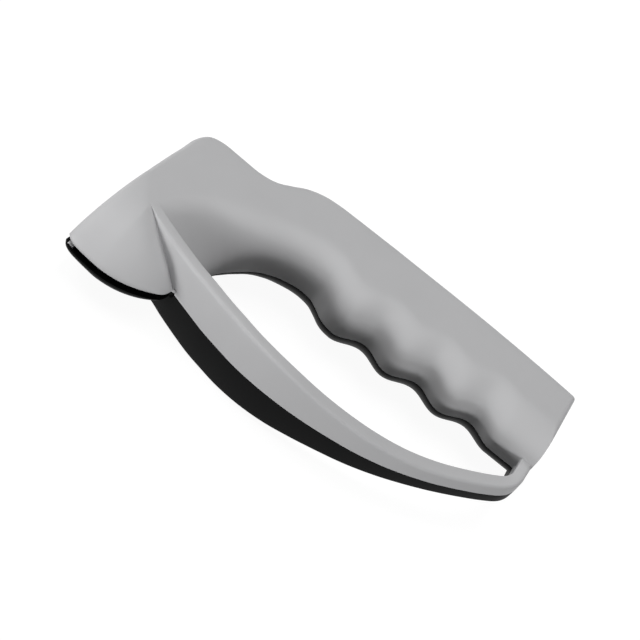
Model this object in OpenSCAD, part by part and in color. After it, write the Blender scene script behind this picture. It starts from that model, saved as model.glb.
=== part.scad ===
// Hand-held pull-through knife sharpener: two moulded half shells, parted on the
// blade plane, hold a pair of crossed carbide cutters in the slot of the head.
// x runs from the nose to the tail, y from the slot lip to the handle back and
// z across the two flat sides, with the lower flat side on z = 0.

/* [Body] */
// Overall length, nose to tail
body_len = 136.6; // [128:0.2:150]
// Overall height, slot lip to handle back
body_h = 65.3; // [60:0.1:76]
// Overall thickness, flat side to flat side
body_t = 25; // [23:0.5:30]
// Radius of the edge round the flat sides
edge_r = 1.5; // [0.8:0.1:2]
// Wall of the hollow shells
wall = 2.2; // [1.8:0.1:2.6]

/* [Grip] */
// Distance between finger grooves
finger_pitch = 18; // [16:0.5:19]
// Depth of a finger groove
groove_depth = 3.6; // [2:0.2:4.4]
// Drop of the handle back from its crest to the tail
back_drop = 1.4; // [0:0.2:2.4]
// Rise of the finger line per groove, toward the tail
groove_rise = 1.05; // [0:0.05:1.4]

/* [Guard] */
// Thickness of the hand guard
guard_t = 3.4; // [2.8:0.1:4]
// Rounding of the guard rim on the outer side
rim_r = 0.9; // [0.5:0.1:1.2]

/* [Slot and cutters] */
// Width of the blade slot
slot_w = 2.6; // [2:0.1:3.2]
// Depth of the blade slot above the lips
slot_depth = 10.1; // [9.5:0.1:11]
// Height of the slot lips, from the blade plane
lip_h = 1.9; // [1.7:0.1:2.4]
// Height above the lips at which the cutters cross
cross_rise = 4.9; // [4.5:0.1:5.5]
// Half of the angle between the two cutters
cutter_angle = 20; // [15:1:22]
// Length of a cutter
cutter_len = 15; // [13:0.5:15.5]
// Length of a cutter below the crossing
cutter_drop = 2.8; // [2:0.1:3.4]
// Width of a cutter
cutter_w = 2; // [1.6:0.1:2.2]
// Thickness of a cutter
cutter_t = 1.9; // [1.5:0.1:2.1]
// Wall in front of the cutters
nose_wall = 1.2; // [1:0.1:1.6]
// Width of the block that holds the cutters
block_w = 11; // [10.5:0.1:12]
// Thickness of the keeper plate behind the cutters
keeper_t = 1.4; // [1:0.1:1.8]
// Clearance round parts that drop into a pocket
fit_gap = 0.15; // [0.1:0.05:0.25]

/* [Fasteners] */
// Shank diameter of the shell screws
screw_d = 2.6; // [2.2:0.1:3]
// Head diameter of the shell screws
screw_head_d = 5; // [4.4:0.1:5.6]
// Head height of the shell screws
screw_head_h = 1.8; // [1.4:0.1:2.2]
// Depth from the flat side to a screw head
screw_sink = 1; // [0.6:0.1:1.6]
// Distance from a screw tip to the inner side of the far wall
screw_tip_gap = 2; // [1.6:0.1:3]
// Wall round a screw shank in its boss
boss_wall = 1.9; // [1.6:0.1:2.2]
// Shank diameter of the keeper screws
keeper_screw_d = 1.6; // [1.4:0.1:1.8]
// Head diameter of the keeper screws
keeper_head_d = 2.8; // [2.4:0.1:3]
// Head height of the keeper screws
keeper_head_h = 1; // [0.8:0.1:1.2]

/* [Hidden] */

half_t = body_t / 2;
cut_over = 1;
same_point = 0.001;

// Rungs from the finger loop to the outer edge, round the head and the arch:
// loop x, loop y, edge x, edge y, the reach of the loop rounding in half thicknesses and
// the form of the upper shell there: 0 soft, 1 firm, 2 firm under a flatter dome
rung_shares = [
    [0.247, 0.274, 0.038, 0.508, 1.72, 0],
    [0.253, 0.338, 0.044, 0.585, 1.60, 0.2],
    [0.264, 0.389, 0.052, 0.677, 1.50, 0.4],
    [0.277, 0.429, 0.058, 0.752, 1.40, 0.6],
    [0.287, 0.458, 0.074, 0.815, 1.30, 0.75],
    [0.299, 0.489, 0.103, 0.839, 1.20, 0.85],
    [0.312, 0.521, 0.150, 0.839, 1.12, 0.95],
    [0.327, 0.550, 0.198, 0.838, 1.05, 1],
    [0.342, 0.572, 0.236, 0.856, 1.00, 1],
    [0.358, 0.591, 0.267, 0.899, 0.96, 1],
    [0.374, 0.604, 0.296, 0.945, 0.93, 1],
    [0.389, 0.613, 0.331, 0.976, 0.92, 1.05],
    [0.405, 0.620, 0.369, 0.989, 0.92, 1.1],
    [0.422, 0.622, 0.413, 0.993, 0.91, 1.2],
    [0.443, 0.615, 0.453, 0.995, 0.90, 1.3],
    [0.463, 0.591, 0.479, 0.996, 0.90, 1.4],
    [0.482, 0.564, 0.497, 0.997, 0.92, 1.5],
    [0.499, 0.550, 0.510, 0.998, 0.94, 1.6],
    [0.518, 0.545, 0.525, 0.998, 0.96, 1.7]];
// Foot of the flat side on the nose edge, where the cheek begins
flat_foot_share = [0.033, 0.440];
// Tail edge: x at the loop side and at the back
tail_shares = [0.9995, 0.991];
crest_share = 0.69;
tail_reach_share = 1;
tail_form = 2;
// How far the rounding follows the finger grooves
scallop_share = 0.4;

// Outer ridge of the spine, guard and link, from the tip of the spine:
// x, y, rim height in half thicknesses, crown and thickness in guard thicknesses
band_shares = [
    [0.083, 0.297, 1, 0.30, 1],
    [0.119, 0.257, 0.99, 0.30, 1],
    [0.155, 0.229, 0.95, 0.30, 1],
    [0.193, 0.205, 0.92, 0.30, 1],
    [0.230, 0.175, 0.945, 0.30, 1],
    [0.272, 0.146, 0.98, 0.30, 1],
    [0.318, 0.116, 1, 0.31, 1],
    [0.361, 0.095, 1, 0.30, 1],
    [0.407, 0.075, 0.985, 0.27, 1.02],
    [0.461, 0.063, 0.945, 0.22, 1.05],
    [0.519, 0.061, 0.87, 0.18, 1.08],
    [0.577, 0.069, 0.76, 0.15, 1.12],
    [0.636, 0.086, 0.655, 0.12, 1.15],
    [0.694, 0.110, 0.565, 0.10, 1.18],
    [0.753, 0.147, 0.475, 0.08, 1.20],
    [0.807, 0.194, 0.405, 0.08, 1.20],
    [0.862, 0.254, 0.36, 0.08, 1.20],
    [0.916, 0.326, 0.34, 0.08, 1.18],
    [0.960, 0.393, 0.335, 0.08, 1.14],
    [0.986, 0.443, 0.34, 0.06, 1.10],
    [0.9983, 0.497, 0.36, 0.05, 1.06],
    [0.9990, 0.552, 0.40, 0.03, 1.05],
    [0.9975, 0.610, 0.45, 0.03, 1.05],
    [0.9955, 0.680, 0.50, 0.03, 1.05]];
spine_end = 4;
spine_open_share = 0.5;
tip_wide_share = 0.72;
turn_share = 0.05;

// Lip of the slot from the nose corner to the root of the guard
lip_shares = [
    [0, 0.047],
    [0.009, 0.026],
    [0.026, 0.012],
    [0.060, 0.003],
    [0.096, 0],
    [0.132, 0.012],
    [0.165, 0.037],
    [0.194, 0.071],
    [0.216, 0.108]];
// Places along the lip below the top of the nose edge and below the tip of the spine
lip_edge_step = 0.9;
lip_turn_step = 3.6;

// Shape of the roundings
finger_pull_share = 0.16;
face_pull_share = 0.3;
soft_stretch_share = 0.15;
upright_shares = [0.55, 0.7];
upright_power = 7;
dome_powers = [2.8, 1.8];
cheek_start = 1.9;
cheek_end = 0.75;
cheek_spread = 1.5;
lip_fade = 4;
rim_limit_share = 0.4;
scoop_power = 2.6;
tip_drop_share = 0.18;
tip_drop_power = 4;

rise_rows = 10;
face_rows = 4;
edge_rows = 3;
top_row = rise_rows + face_rows + edge_rows + 1;
cheek_rows = 10;
head_steps = 2;
groove_steps = 10;
guard_steps = 3;
edge_step = 90 / edge_rows;

function flat(v) = [v[0], v[1]];
function lift(v, z) = [v[0], v[1], z];
function place(share) = [share[0] * body_len, share[1] * body_h];
function mix(a, b, s) = a + (b - a) * s;
function unit(v) = v / norm(v);
function ease(s) = s * s * (3 - 2 * s);
function held(list, i) = list[max(0, min(len(list) - 1, i))];
function spline(list, t) =
    let (i = min(floor(t), len(list) - 2),
         f = t - i,
         a = held(list, i - 1),
         b = held(list, i),
         c = held(list, i + 1),
         d = held(list, i + 2))
    (2 * b + (c - a) * f + (2 * a - 5 * b + 4 * c - d) * f * f
        + (3 * b - a - 3 * c + d) * f * f * f) / 2;

// Rounding between the loop edge and the flat side, in shares of reach and half thickness:
// soft all the way, or an upright wall under a dome
function soft_rise(s) = [
    3 * (1 - s) * s * s * (1 - face_pull_share) + s * s * s,
    3 * (1 - s) * (1 - s) * s * finger_pull_share + 3 * (1 - s) * s * s + s * s * s];
function firm_rise(s, flat_dome) =
    let (power = mix(dome_powers[0], dome_powers[1], flat_dome),
         upright = mix(upright_shares[0], upright_shares[1], flat_dome))
    [s * s, 1 - upright * pow(1 - s, upright_power) - (1 - upright) * pow(1 - s * s, power)];
function rise(s, form = 0) = mix(soft_rise(s), firm_rise(s, max(0, form - 1)), min(1, form));

// Spine, guard and link
function band(t) = spline(band_shares, t);
function ridge(t) = place(band(t));
function band_dir(t) = unit(ridge(t + turn_share) - ridge(t - turn_share));
function inward(t) = let (d = band_dir(t)) [-d[1], d[0]];
function spine_open(t) = ease(min(1, t / spine_end / spine_open_share));
function band_wide(t) = guard_t * band(t)[4] * mix(tip_wide_share, 1, spine_open(t));
function band_top(t) = half_t * min(1, band(t)[2]);
function band_bulge(t, z) = guard_t * band(t)[3] * (1 - pow(z / band_top(t), 2));
function band_at(t, d, z) = lift(ridge(t) + inward(t) * d, z);
function band_section(t, z_in, z_out) =
    let (w = band_wide(t),
         top = band_top(t),
         r_in = min(rim_r, w * rim_limit_share) / 2 * spine_open(t),
         r_out = min(rim_r, w * rim_limit_share) * spine_open(t),
         z_mid = (top - r_out + z_out) / 2)
    concat(
        [band_at(t, w, z_in)],
        [for (a = [0 : 45 : 90]) band_at(t, w - r_in * (1 - cos(a)), top - r_in * (1 - sin(a)))],
        [for (a = [90 : -30 : 0]) band_at(t, r_out * (1 - cos(a)), top - r_out * (1 - sin(a)))],
        [for (z = [z_mid, z_out]) band_at(t, -band_bulge(t, z), z)]);
// Height of the cheek along the spine: a quick drop below its blunt tip, then a slow fall to the root
function scoop_z(s) = half_t * (1 - tip_drop_share * (1 - pow(1 - s, tip_drop_power))
    - (1 - tip_drop_share) * pow(s, scoop_power));

spine_at = [for (k = [0 : rise_rows]) 1 - rise((rise_rows - k) / rise_rows)[0]];
spine_tip = ridge(0);
loop_foot = ridge(spine_end) + inward(spine_end) * band_wide(spine_end);
flat_foot = place(flat_foot_share);
guard_foot = ridge(spine_end) - inward(spine_end) * band_bulge(spine_end, 0);

// Rungs of the grip and the tail
grip_shares = rung_shares[len(rung_shares) - 1];
grip_x = grip_shares[0] * body_len;
grip_y = grip_shares[1] * body_h;
grip_up = grip_shares[2] * body_len;
groove_count = 3;
grip_len = groove_count * finger_pitch;
tail_low = tail_shares[0] * body_len;
tail_up = tail_shares[1] * body_len;
crest_x = crest_share * body_len;
function groove_at(x) = min(x - grip_x, grip_len) / finger_pitch;
function groove_y(x) = groove_depth / 2 * (1 - cos(360 * groove_at(x)));
function finger_y(x) = grip_y + groove_rise * groove_at(x) + groove_y(x);
function back_y(x) =
    x > crest_x
        ? body_h - back_drop * pow((x - crest_x) / (tail_up - crest_x), 2)
        : body_h * mix(grip_shares[3], 1, ease((x - grip_up) / (crest_x - grip_up)));
// A rung is its loop point, its edge point, its reach, the height that caps it and its form
function grip_rung(x, turn) =
    let (s = (x - grip_x) / (tail_low - grip_x),
         up = mix(grip_up, tail_up, s))
    [[x, finger_y(x)],
     [up, back_y(up) - edge_r * (1 - cos(turn))],
     half_t * mix(grip_shares[4], tail_reach_share, s) - scallop_share * groove_y(x),
     half_t - edge_r * (1 - cos(turn)),
     mix(grip_shares[5], tail_form, s)];
head_knots = concat(
    [[loop_foot[0], loop_foot[1], flat_foot[0], flat_foot[1], norm(spine_tip - loop_foot), 0]],
    [for (r = rung_shares)
        [r[0] * body_len, r[1] * body_h, r[2] * body_len, r[3] * body_h, r[4] * half_t, r[5]]]);
head_last = len(head_knots) - 1;
grip_count = ceil(groove_count * groove_steps * (tail_low - grip_x) / grip_len);
function head_rung(t) = let (k = spline(head_knots, t)) [[k[0], k[1]], [k[2], k[3]], k[4], half_t, k[5]];
function handle_rung(i) = grip_rung(mix(grip_x, tail_low - edge_r, i / grip_count), 0);
rungs = concat(
    [for (i = [0 : head_last * head_steps]) head_rung(i / head_steps)],
    [for (i = [1 : grip_count]) handle_rung(i)],
    [for (f = [1 : edge_rows]) grip_rung(tail_low - edge_r * (1 - sin(f * edge_step)), f * edge_step)]);

// The soft shell reaches a little further than the firm one
function reach_of(rung, firm) = rung[2] * (1 + soft_stretch_share * (1 - firm) * min(1, rung[4]));
// Rows of a rung: distance from the loop and height
function rung_rows(long, reach, form) = concat(
    [for (j = [0 : rise_rows])
        let (p = rise(j / rise_rows, form))
        [p[0] * reach, p[1] * half_t]],
    [for (j = [1 : face_rows]) [mix(reach, long - edge_r, j / face_rows), half_t]],
    [for (f = [1 : edge_rows])
        [long - edge_r * (1 - sin(f * edge_step)), half_t - edge_r * (1 - cos(f * edge_step))]],
    [[long, 0]]);
function rung_points(rung, firm) =
    let (a = rung[0], b = rung[1], d = unit(b - a))
    [for (p = rung_rows(norm(b - a), reach_of(rung, firm), firm * rung[4]))
        lift(a + d * p[0], min(p[1], rung[3]))];
// The first rung follows the inner side of the spine, its blunt tip and the foot of the flat side
spine_rung =
    let (d = unit(flat_foot - spine_tip),
         long = norm(flat_foot - spine_tip),
         rows = concat([for (j = [0 : face_rows - 1]) [(long - edge_r) * j / (face_rows - 1), half_t]],
             [for (j = [rise_rows + face_rows + 1 : top_row]) rung_rows(long, 0, 0)[j]]))
    [for (j = [0 : top_row])
        j <= rise_rows
            ? let (t = spine_end * spine_at[rise_rows - j])
              band_at(t, band_wide(t), rise(j / rise_rows)[1] * half_t)
            : let (row = rows[j - rise_rows - 1])
              lift(spine_tip + d * row[0], row[1])];
// Firm is 1 on the shell that follows the form of its rungs and 0 on the one that stays soft
function body_grid(firm) =
    concat([spine_rung], [for (i = [1 : len(rungs) - 1]) rung_points(rungs[i], firm)]);

spine_grid = [for (k = [0 : rise_rows])
    let (t = spine_end * spine_at[k])
    band_section(t, spine_rung[rise_rows - k][2], scoop_z(spine_at[k]))];
band_row = len(spine_grid[0]) - 1;

// Cheek beside the slot, from the foot of the flat side and the spine to the lip
lip_knots = concat([for (s = lip_shares) place(s)], [guard_foot]);
lip_last = len(lip_knots) - 1;
function lip_step(c) =
    c <= edge_rows + 1
        ? lip_edge_step * (1 - sin((edge_rows + 1 - max(c, 1)) * edge_step))
        : mix(lip_edge_step, lip_turn_step, (c - edge_rows - 1) / (face_rows - 1));
function cheek_column(c) =
    let (k = c - (top_row - rise_rows - 1),
         s = k > 0 ? spine_at[k] : 0,
         from = k > 0 ? spine_grid[k][band_row] : spine_rung[top_row - c],
         from_z = k > 0 ? from[2] : half_t,
         to = spline(lip_knots, k > 0 ? mix(lip_turn_step, lip_last, s) : lip_step(c)),
         to_z = lip_h * (1 - pow(s, lip_fade)),
         fall = edge_r * (1 - cos(max(0, edge_rows + 1 - c) * edge_step)))
    concat(
        [for (r = [0 : cheek_rows])
            let (q = 1 - pow(1 - r / cheek_rows, cheek_spread),
                 z = to_z + (from_z - to_z) * pow(1 - pow(q, cheek_start), cheek_end))
            lift(mix(flat(from), to, q), c == 0 ? 0 : z - fall * min(1, z / edge_r / 2))],
        [lift(to, 0)]);
cheek_grid = [for (c = [0 : top_row - 1]) cheek_column(c)];

function joined(grid) = [for (row = grid) for (p = row) p];
function apart(p, t) =
    norm(p[t[0]] - p[t[1]]) > same_point
    && norm(p[t[1]] - p[t[2]]) > same_point
    && norm(p[t[2]] - p[t[0]]) > same_point;
// Triangles of a grid whose rows of points start at the given index
function grid_faces(start, rows, cols) = [
    for (i = [0 : rows - 2])
    for (j = [0 : cols - 2])
    let (a = start + i * cols + j, b = a + cols)
    for (t = [[a, a + 1, b + 1], [a, b + 1, b]]) t];
function turned(faces) = [for (t = faces) [t[2], t[1], t[0]]];
function fan(ring) = [for (i = [1 : len(ring) - 2]) [ring[0], ring[i], ring[i + 1]]];

body_start = 0;
body_cols = top_row + 1;
spine_start = len(rungs) * body_cols;
spine_cols = band_row + 1;
cheek_start_at = spine_start + len(spine_grid) * spine_cols;
cheek_cols = cheek_rows + 2;
last_rung = (len(rungs) - 1) * body_cols;
function core_points(firm) = concat(joined(body_grid(firm)), joined(spine_grid), joined(cheek_grid));
foot_ring = concat(
    [0, top_row],
    [for (r = [1 : cheek_rows]) cheek_start_at + r],
    [for (c = [1 : len(cheek_grid) - 1]) cheek_start_at + c * cheek_cols + cheek_cols - 1]);
core_faces = concat(
    grid_faces(body_start, len(rungs), body_cols),
    turned(grid_faces(spine_start, len(spine_grid), spine_cols)),
    turned(grid_faces(cheek_start_at, len(cheek_grid), cheek_cols)),
    fan([for (j = [0 : top_row]) last_rung + j]),
    [for (i = [0 : len(rungs) - 2])
        let (a = i * body_cols, b = a + body_cols)
        for (t = [[a, b, b + top_row], [a, b + top_row, a + top_row]]) t],
    turned(fan([for (j = [0 : band_row]) spine_start + rise_rows * spine_cols + j])),
    fan(foot_ring));

module core(firm) {
    points = core_points(firm);
    polyhedron(points, [for (t = core_faces) if (apart(points, t)) t]);
}

// Closed tube through a list of flat rings
module tube(rings) {
    n = len(rings[0]);
    last = (len(rings) - 1) * n;
    polyhedron(joined(rings), concat(
        [for (i = [0 : len(rings) - 2])
            for (j = [0 : n - 1])
            let (a = i * n + j, b = i * n + (j + 1) % n)
            for (t = [[a, b + n, b], [a, a + n, b + n]]) t],
        fan([for (j = [0 : n - 1]) j]),
        turned(fan([for (j = [0 : n - 1]) last + j]))));
}

band_last = len(band_shares) - 1;
guard_count = (band_last - spine_end) * guard_steps;
module guard() {
    tube([for (i = [0 : guard_count]) band_section(mix(spine_end, band_last, i / guard_count), 0, 0)]);
}

// Hollow of the head and handle, one wall inside the skin. Its rings lie between the rungs.
hollow_from = 2.25;
hollow_step = 1.5;
hollow_handle_from = 1.5;
hollow_handle_step = 3;
hollow_rows = 4;
function hollow_ring(rung, firm) =
    let (a = rung[0], b = rung[1], d = unit(b - a), long = norm(b - a), top = half_t - wall)
    concat(
        [lift(a + d * wall, -cut_over)],
        [for (j = [0 : hollow_rows])
            let (p = rise(j / hollow_rows, firm * rung[4]))
            lift(a + d * (wall + p[0] * (reach_of(rung, firm) - wall / 2)), mix(wall, top, p[1]))],
        [lift(a + d * (long - wall), top), lift(a + d * (long - wall), -cut_over)]);
hollow_rungs = concat(
    [for (t = [hollow_from : hollow_step : head_last]) head_rung(t)],
    [for (i = [hollow_handle_from : hollow_handle_step : grip_count - 1]) handle_rung(i)],
    [grip_rung(tail_low - wall, 0)]);
module hollow(firm) {
    tube([for (rung = hollow_rungs)
        let (ring = hollow_ring(rung, firm))
        [for (i = [len(ring) - 1 : -1 : 0]) ring[i]]]);
}

// Slot for the blade along the lower edge of the head
slot_end_share = 0.19;
slot_root_shares = [1.01, 1.03];
module slot() {
    linear_extrude(slot_w, center = true)
    polygon([
        [-cut_over, -cut_over],
        [-cut_over, slot_depth],
        [slot_end_share * body_len, slot_depth],
        [slot_root_shares[0] * guard_foot[0], slot_root_shares[1] * guard_foot[1]],
        [slot_root_shares[0] * guard_foot[0], -cut_over]]);
}

// Frame of the cutters: on the nose edge at the height where they cross
nose_edge = flat_foot - lip_knots[0];
nose_lean = atan(nose_edge[0] / nose_edge[1]);
cross_point = lip_knots[0] + unit(nose_edge) * (cross_rise - lip_knots[0][1]);
stack_t = 2 * cutter_t;
keeper_from = nose_wall + stack_t;
block_low = cutter_drop + fit_gap + cutter_w / 2;
keeper_screw_y = cutter_len - cutter_drop + fit_gap + keeper_head_d / 2;
keeper_place_share = 0.52;
keeper_screw_z = keeper_place_share * block_w / 2;
block_top = keeper_screw_y + keeper_head_d / 2 + fit_gap;
keeper_bite = cutter_t + cutter_t / 2;
module at_nose() {
    translate(lift(cross_point, 0))
    rotate([0, 0, -nose_lean])
    children();
}
// One carbide bar: side 1 has its lower end under the blade plane
module cutter(side, from, gap) {
    at_nose()
    rotate([side * cutter_angle, 0, 0])
    translate([from - gap, -cutter_drop - gap, side > 0 ? -cutter_w - gap : -gap])
    cube([cutter_t + 2 * gap, cutter_len + 2 * gap, cutter_w + 2 * gap]);
}
module cutter_room() {
    cutter(1, nose_wall, fit_gap);
    cutter(-1, nose_wall + cutter_t, fit_gap);
}
// Plate as wide and high as the block, from one depth behind the nose edge
module block_slice(from, thick, gap) {
    at_nose()
    translate([from, block_low - gap, -block_w / 2 - gap])
    cube([thick, block_top - block_low + 2 * gap, block_w + 2 * gap]);
}
module block_room() {
    block_slice(nose_wall, stack_t + keeper_t + keeper_head_h + 2 * fit_gap, fit_gap);
}
// Place of a keeper screw, pointing toward the nose from the back of the plate
module at_keeper_screw(side) {
    at_nose()
    translate([keeper_from + keeper_t, keeper_screw_y, side * keeper_screw_z])
    rotate([0, -90, 0])
    children();
}
module keeper_bores(gap) {
    for (side = [-1, 1])
        at_keeper_screw(side)
        translate([0, 0, -cut_over])
        cylinder(h = keeper_t + keeper_bite + cut_over + gap, d = keeper_screw_d + gap, $fn = 32);
}

screw_shares = [[0.096, 0.654], [0.205, 0.715], [0.424, 0.822], [0.687, 0.822], [0.928, 0.822]];
boss_r = screw_d / 2 + boss_wall;
boss_end_share = 0.75;
screw_seat = half_t - screw_sink - screw_head_h;
screw_reach = half_t - wall - screw_tip_gap;
drive_share = 0.62;
drive_w_share = 0.18;
module at_screw(i) {
    translate(lift(place(screw_shares[i]), 0))
    children();
}
// Cross recess in a screw head whose top is at zero
module drive(d, h) {
    for (a = [0, 90])
        rotate([0, 0, a])
        translate([-drive_share * d / 2, -drive_w_share * d / 2, -drive_share * h])
        cube([drive_share * d, drive_w_share * d, h]);
}
// Pan-head screw: head top at zero, shank downward
module screw(head_d, head_h, d, long) {
    difference() {
        rotate_extrude($fn = 48)
        polygon([
            [0, -head_h - long],
            [d / 3, -head_h - long],
            [d / 2, -head_h - long + d / 3],
            [d / 2, -head_h],
            [head_d / 2, -head_h],
            [head_d / 2, -head_h / 2],
            [head_d / 2 - head_h / 4, 0],
            [0, 0]]);
        drive(head_d, head_h);
    }
}

module half_shell(firm) {
    difference() {
        union() {
            difference() {
                core(firm);
                hollow(firm);
            }
            guard();
            for (i = [0 : len(screw_shares) - 1])
                at_screw(i)
                cylinder(h = half_t - boss_end_share * wall, r = boss_r, $fn = 48);
        }
        slot();
        block_room();
    }
}

module in_place() {
    translate([-body_len / 2, -body_h / 2, half_t])
    children();
}

module upper_shell() {
    color([0.68, 0.68, 0.69])
    in_place()
    difference() {
        half_shell(1);
        cutter_room();
        for (i = [0 : len(screw_shares) - 1])
            at_screw(i)
            translate([0, 0, -cut_over])
            cylinder(h = cut_over + screw_reach + screw_tip_gap / 2, d = screw_d + fit_gap, $fn = 48);
    }
}

module lower_shell() {
    color([0.1, 0.1, 0.11])
    in_place()
    difference() {
        mirror([0, 0, 1])
        half_shell(0);
        cutter_room();
        for (i = [0 : len(screw_shares) - 1])
            at_screw(i)
            translate([0, 0, -half_t - cut_over]) {
                cylinder(h = half_t + 2 * cut_over, d = screw_d + 2 * fit_gap, $fn = 48);
                cylinder(h = half_t - screw_seat + cut_over, d = screw_head_d + 2 * fit_gap, $fn = 48);
            }
    }
}

module cutter_block() {
    color([0.16, 0.16, 0.17])
    in_place()
    difference() {
        block_slice(nose_wall, stack_t, 0);
        cutter_room();
        slot();
        keeper_bores(fit_gap);
    }
}

module keeper_plate() {
    color([0.62, 0.63, 0.65])
    in_place()
    difference() {
        block_slice(keeper_from, keeper_t, 0);
        slot();
        keeper_bores(2 * fit_gap);
    }
}

module front_cutter() {
    color([0.42, 0.43, 0.45])
    in_place()
    cutter(1, nose_wall, 0);
}

module rear_cutter() {
    color([0.42, 0.43, 0.45])
    in_place()
    cutter(-1, nose_wall + cutter_t, 0);
}

module keeper_screw(side) {
    color([0.55, 0.56, 0.58])
    in_place()
    at_keeper_screw(side)
    rotate([180, 0, 0])
    translate([0, 0, keeper_head_h])
    screw(keeper_head_d, keeper_head_h, keeper_screw_d, keeper_t + keeper_bite);
}
module keeper_screw_near() { keeper_screw(1); }
module keeper_screw_far() { keeper_screw(-1); }

module shell_screw(i) {
    color([0.55, 0.56, 0.58])
    in_place()
    at_screw(i)
    rotate([180, 0, 0])
    translate([0, 0, screw_seat + screw_head_h])
    screw(screw_head_d, screw_head_h, screw_d, screw_seat + screw_reach);
}
module shell_screw_nose() { shell_screw(0); }
module shell_screw_head() { shell_screw(1); }
module shell_screw_grip_front() { shell_screw(2); }
module shell_screw_grip_rear() { shell_screw(3); }
module shell_screw_tail() { shell_screw(4); }

upper_shell();
lower_shell();
cutter_block();
keeper_plate();
front_cutter();
rear_cutter();
keeper_screw_near();
keeper_screw_far();
shell_screw_nose();
shell_screw_head();
shell_screw_grip_front();
shell_screw_grip_rear();
shell_screw_tail();
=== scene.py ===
from math import ceil, cos, floor, pi, radians, sin

import bmesh
import bpy
import numpy as np
from mathutils import Matrix, Vector


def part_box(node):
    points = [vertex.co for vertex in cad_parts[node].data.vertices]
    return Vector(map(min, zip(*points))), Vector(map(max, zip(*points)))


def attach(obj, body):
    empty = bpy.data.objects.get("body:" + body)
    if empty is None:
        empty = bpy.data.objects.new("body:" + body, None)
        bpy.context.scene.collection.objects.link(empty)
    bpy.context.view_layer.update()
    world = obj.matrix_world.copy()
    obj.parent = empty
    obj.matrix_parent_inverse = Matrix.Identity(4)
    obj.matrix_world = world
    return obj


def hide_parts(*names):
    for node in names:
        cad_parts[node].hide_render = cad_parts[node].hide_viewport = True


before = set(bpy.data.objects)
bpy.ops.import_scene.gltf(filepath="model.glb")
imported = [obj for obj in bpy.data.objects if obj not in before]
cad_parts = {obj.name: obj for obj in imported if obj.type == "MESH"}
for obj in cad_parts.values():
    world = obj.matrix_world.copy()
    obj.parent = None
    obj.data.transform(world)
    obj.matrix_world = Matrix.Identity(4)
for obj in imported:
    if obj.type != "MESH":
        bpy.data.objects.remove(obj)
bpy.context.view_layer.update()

mm = 0.001

# Half shells. x runs from the nose to the tail, y from the slot lip to the
# handle back, z from the parting plane to the flat side.

bodySizes = {
    "length": 136.6 * mm,
    "height": 65.3 * mm,
    "thickness": 25 * mm,
    "edgeRadius": 1.5 * mm,
    "wall": 2.2 * mm,
    "seamStep": 0.014,       # step of the loop rounding that sets the seam chamfer
    "sharpAngle": 32,        # degrees above which an edge shades sharp
}
gripSizes = {
    "pitch": 18 * mm,        # from groove to groove
    "depth": 3.6 * mm,
    "rise": 1.05 * mm,       # of the finger line, per groove
    "backDrop": 1.4 * mm,    # of the back, from its crest to the tail
    "grooves": 3,
    "crestShare": 0.69,
    "tailReachShare": 1,
    "tailForm": 2,
    "scallopShare": 0.4,     # how far the rounding follows the grooves
    "softStretch": 0.15,     # of the reach, on the black shell
    "facePull": 0.3,         # how long the rounding stays with the face
    "fingerPulls": (0.32, 0.16),  # and with the loop's wall, on the black and on the gray shell
    "uprights": (0.55, 0.7),      # share of an upright wall in the firm form and in the flatter one
    "uprightPower": 7,
    "domePowers": (2.8, 1.8),     # of the dome over that wall
}
guardSizes = {
    "thickness": 3.4 * mm,
    "rimRadius": 0.9 * mm,
    "spineEnd": 4,           # row of bandShares where the spine leaves the head
    "spineOpenShare": 0.5,
    "tipWideShare": 0.72,
    "turn": 0.05,            # step along the rows that gives the direction
}
headSizes = {
    "slotWidth": 2.6 * mm,
    "slotDepth": 10.1 * mm,
    "slotEndShare": 0.19,
    "slotRootShares": (1.01, 1.03),
    "lipHeight": 1.9 * mm,
    "lipEdge": 0.9,          # place along the lip where the nose edge ends
    "lipTurn": 3.6,          # place along the lip below the tip of the spine
    "cheekStart": 1.9,
    "cheekEnd": 0.75,
    "cheekSpread": 1.5,
    "lipFade": 4,
    "scoopPower": 2.6,
    "tipDropShare": 0.18,    # drop of the cheek below the tip of the spine
    "tipDropPower": 4,
    "tipBlend": 0.12,        # share of the spine over which that drop sets in
    "valleyDepth": 1.1 * mm, # of the cheek along the foot of the spine
    "valleyWide": 0.6,
}
meshRows = {"rise": 34, "face": 10, "edge": 6, "cheek": 40, "crown": 10,
            "headSteps": 10, "grooveSteps": 40, "guardSteps": 10}

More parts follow.
